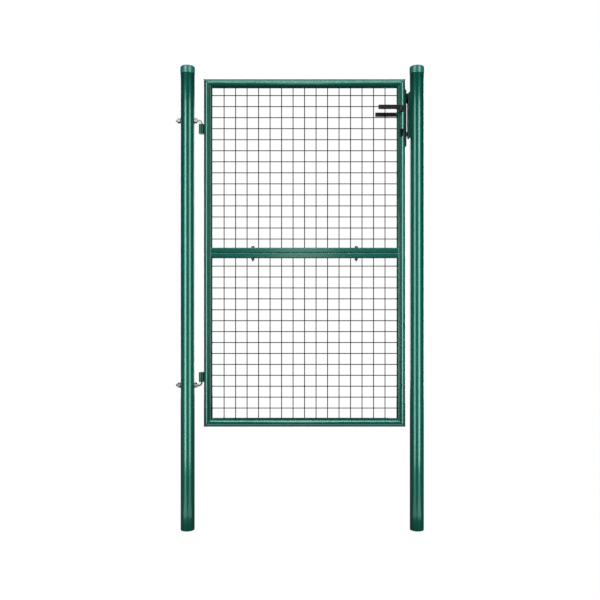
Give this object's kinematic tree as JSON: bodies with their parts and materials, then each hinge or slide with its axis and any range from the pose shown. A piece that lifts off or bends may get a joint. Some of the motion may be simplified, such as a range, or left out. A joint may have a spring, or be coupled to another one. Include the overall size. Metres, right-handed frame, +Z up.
{
  "type": "garden gate",
  "caption": "Welded mesh garden gate with a leaf in two bolted halves, hung on L-bolt hinges between round posts, with lever handles, a latch, a dead bolt and a key cylinder.",
  "frame": {"origin": "centre of the hinge post's foot, on the ground-end plane of both posts", "axes": "+X from the hinge post to the latch post, +Y to the side that the leaf opens to, +Z up along the posts"},
  "size_m": [1.0713, 0.137, 2],
  "materials": {
    "green_coat": "gloss moss green powder coat",
    "green_plastic": "gloss green moulded plastic",
    "zinc": "bright zinc plate",
    "black_coat": "satin black coat",
    "black_plastic": "satin black moulded plastic",
    "bolt_steel": "ground zinc-plated steel",
    "case_steel": "plain zinc-plated sheet",
    "spring_steel": "spring steel",
    "nickel": "black nickel plate"
  },
  "bodies": {
    "posts": {"hinge_post": "green_coat", "latch_post": "green_coat", "hinge_post_cap": "green_plastic", "latch_post_cap": "green_plastic", "upper_hinge_bolt": "zinc", "lower_hinge_bolt": "zinc", "hinge_washers": "zinc", "hinge_nuts": "zinc", "keeper": "green_coat", "keeper_pads": "black_plastic"},
    "leaf": {"upper_hinge_stile": "green_coat", "upper_latch_stile": "green_coat", "lower_hinge_stile": "green_coat", "lower_latch_stile": "green_coat", "top_rail": "green_coat", "bottom_rail": "green_coat", "upper_mid_rail": "green_coat", "lower_mid_rail": "green_coat", "upper_hinge_sleeve": "green_coat", "lower_hinge_sleeve": "green_coat", "upper_mesh_uprights": "green_coat", "upper_mesh_crosswires": "green_coat", "lower_mesh_uprights": "green_coat", "lower_mesh_crosswires": "green_coat", "joining_bolts": "zinc", "joining_washers": "zinc", "joining_nuts": "zinc", "lock_case": "case_steel", "lock_cover": "case_steel", "forend_plate": "black_coat", "forend_packer": "black_plastic", "forend_screws": "zinc", "front_collar": "black_plastic", "rear_collar": "black_plastic", "cylinder_body": "nickel", "cylinder_screw": "zinc", "latch_spring": "spring_steel", "lever_spring": "spring_steel"},
    "levers": {"follower": "case_steel", "spindle": "case_steel", "front_lever": "black_plastic", "rear_lever": "black_plastic", "lever_screws": "case_steel"},
    "latch": {"latch_bolt": "bolt_steel"},
    "bolt": {"dead_bolt": "bolt_steel"},
    "plug": {"cylinder_plugs": "nickel", "cylinder_cam": "case_steel"}
  },
  "joints": [
    {"name": "leaf_swing", "type": "hinge", "parent": "posts", "child": "leaf", "pos_m": [0.0589, 0, 1.194], "axis": [0, 0, 1], "range_deg": [0, 100]},
    {"name": "lever_turn", "type": "hinge", "parent": "leaf", "child": "levers", "pos_m": [0.921, 0, 1.808], "axis": [0, -1, 0], "range_deg": [0, 40], "stiffness_Nm_per_rad": 0.8, "springref_deg": -22.92, "deforming": ["lever_spring"]},
    {"name": "latch_slide", "type": "slide", "parent": "leaf", "child": "latch", "axis": [-1, 0, 0], "range_m": [0, 0.012], "deforming": ["latch_spring"]},
    {"name": "key_turn", "type": "hinge", "parent": "leaf", "child": "plug", "pos_m": [0.921, 0, 1.716], "axis": [0, -1, 0], "range_deg": [0, 360]},
    {"name": "bolt_slide", "type": "slide", "parent": "leaf", "child": "bolt", "axis": [1, 0, 0], "range_m": [0, 0.014]}
  ],
  "couplings": [
    {"joint": "latch_slide", "follows": "lever_turn", "m_per_rad": 0.017188},
    {"joint": "key_turn", "follows": "bolt_slide", "rad_per_m": 448.79}
  ]
}
